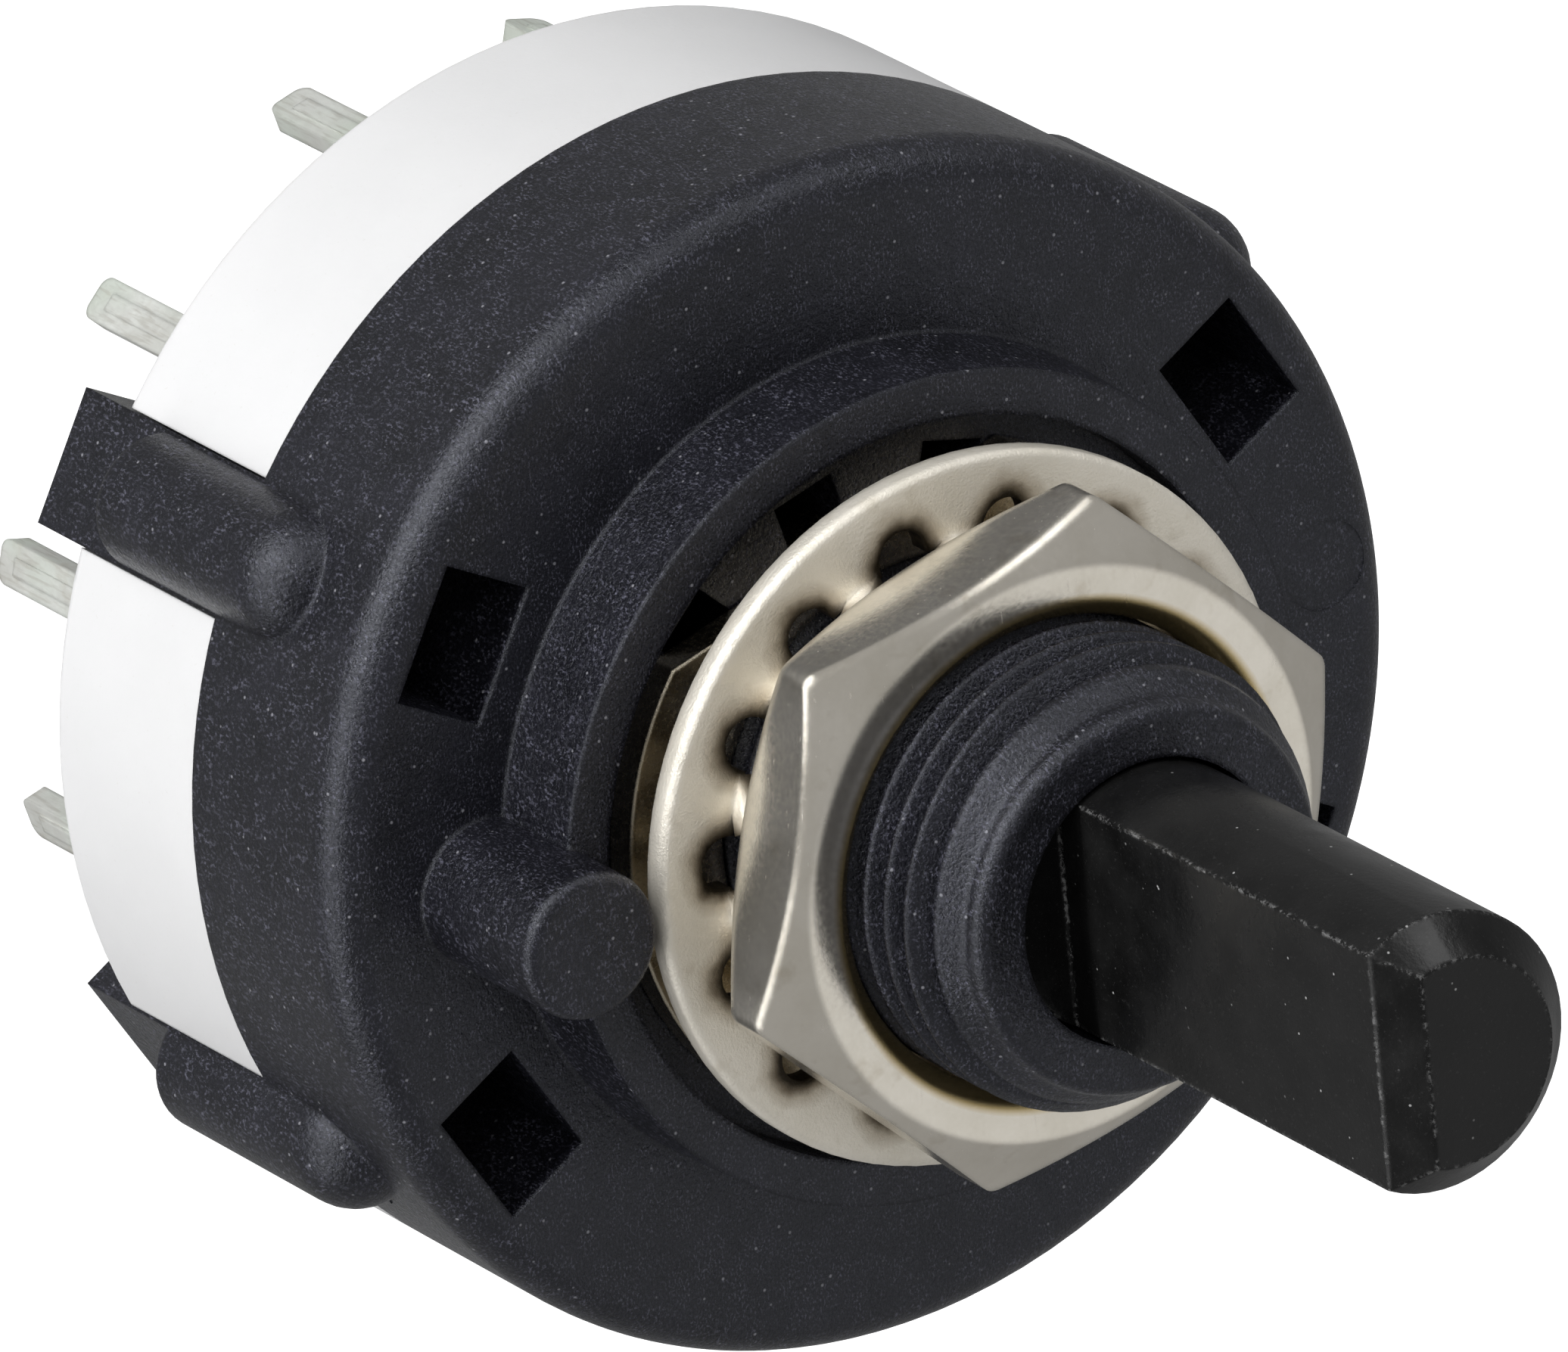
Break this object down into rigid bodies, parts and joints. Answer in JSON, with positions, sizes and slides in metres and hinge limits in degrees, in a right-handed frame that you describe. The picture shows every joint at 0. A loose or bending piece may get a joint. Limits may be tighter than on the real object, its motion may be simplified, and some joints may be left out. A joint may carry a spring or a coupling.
{
  "type": "rotary selector switch",
  "caption": "Panel-mount rotary selector switch with threaded bush, nut and lock washer, flatted shaft, locating peg and a ring of solder blades under a snap-fit base.",
  "frame": {"origin": "on the shaft's axis, in the plane of the panel seat, which is the top of the raised collar", "axes": "+Z along the shaft, out of the panel towards its tip; +Y towards the locating peg"},
  "size_m": [0.0264, 0.0262, 0.0373],
  "materials": {
    "black_nylon": "satin, glass-filled",
    "black_acetal": "smooth satin",
    "white_nylon": "satin",
    "tinned_brass": "tin plated",
    "contact_bronze": "bright",
    "spring_steel": "drawn wire",
    "ball_steel": "polished",
    "nickel_steel": "nickel plated, tumbled",
    "nickel_brass": "nickel plated, bright"
  },
  "bodies": {
    "case": {"housing": "black_nylon", "base": "white_nylon", "terminal_01": "tinned_brass", "terminal_02": "tinned_brass", "terminal_03": "tinned_brass", "terminal_04": "tinned_brass", "terminal_05": "tinned_brass", "terminal_06": "tinned_brass", "terminal_07": "tinned_brass", "terminal_08": "tinned_brass", "terminal_09": "tinned_brass", "terminal_10": "tinned_brass", "terminal_11": "tinned_brass", "terminal_12": "tinned_brass", "common_ring": "tinned_brass"},
    "spindle": {"spindle": "black_acetal", "rotor": "white_nylon", "moving_contact": "contact_bronze", "contact_spring": "spring_steel", "detent_spring": "spring_steel"},
    "ball_a": {"detent_ball_a": "ball_steel"},
    "ball_b": {"detent_ball_b": "ball_steel"},
    "stop": {"stop_washer": "nickel_steel"},
    "lock": {"lock_washer": "nickel_steel"},
    "nut": {"nut": "nickel_brass"}
  },
  "joints": [
    {"name": "spindle_turn", "type": "hinge", "parent": "case", "child": "spindle", "pos_m": [0, 0, 0], "axis": [0, 0, 1], "range_deg": [-330, 0]},
    {"name": "ball_a_slide", "type": "slide", "parent": "spindle", "child": "ball_a", "axis": [1, 0, 0], "range_m": [0, 0.00055]},
    {"name": "ball_b_slide", "type": "slide", "parent": "spindle", "child": "ball_b", "axis": [-1, 0, 0], "range_m": [0, 0.00055]},
    {"name": "stop_lift", "type": "slide", "parent": "case", "child": "stop", "axis": [0, 0, 1], "range_m": [0, 0.0009]},
    {"name": "lock_lift", "type": "slide", "parent": "case", "child": "lock", "axis": [0, 0, 1], "range_m": [0, 0.0015]},
    {"name": "nut_turn", "type": "hinge", "parent": "lock", "child": "nut", "pos_m": [0, 0, 0.00345], "axis": [0, 0, 1], "range_deg": [0, 720]}
  ],
  "couplings": [
    {"joint": "lock_lift", "follows": "nut_turn", "m_per_rad": 0.00011937}
  ]
}
